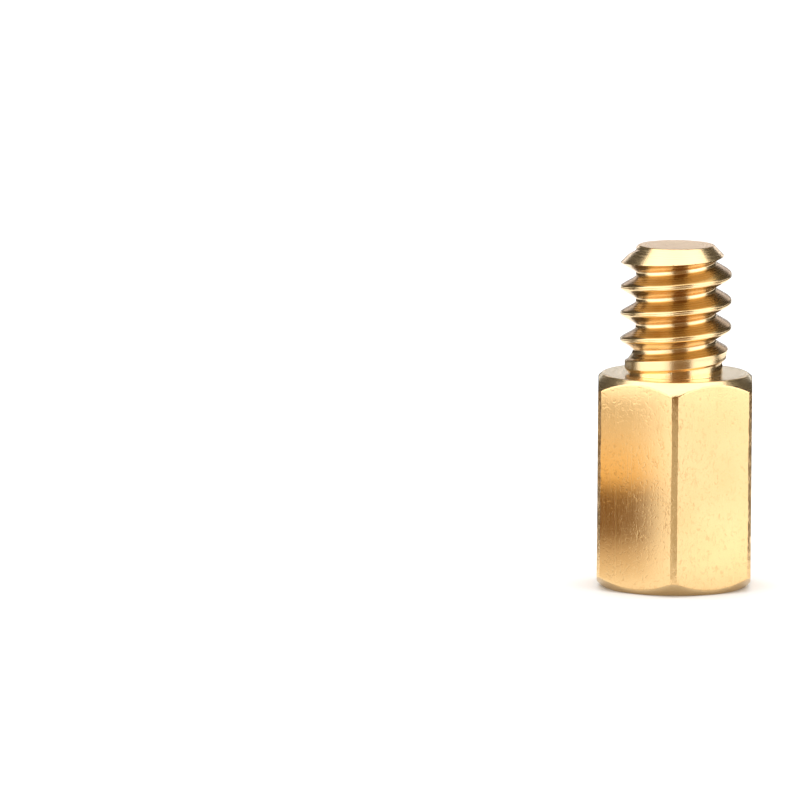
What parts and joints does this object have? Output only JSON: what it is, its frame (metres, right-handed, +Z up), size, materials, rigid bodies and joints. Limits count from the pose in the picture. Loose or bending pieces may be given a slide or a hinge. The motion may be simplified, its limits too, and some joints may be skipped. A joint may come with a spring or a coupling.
{
  "type": "hex standoff",
  "caption": "A short male-female hex standoff turned from brass bar, with a rolled stud at one end and a blind tapped hole at the other.",
  "frame": {"origin": "centre of the flat end face at the tapped end, on which the standoff stands", "axes": "+Z runs up the axis from the tapped end to the stud; +X points square out of one of the six flats"},
  "size_m": [0.0046, 0.0052, 0.0104],
  "materials": {
    "brass": "drawn hex bar with turned ends, bright and uncoated"
  },
  "bodies": {
    "root": {"standoff": "brass"}
  },
  "joints": []
}
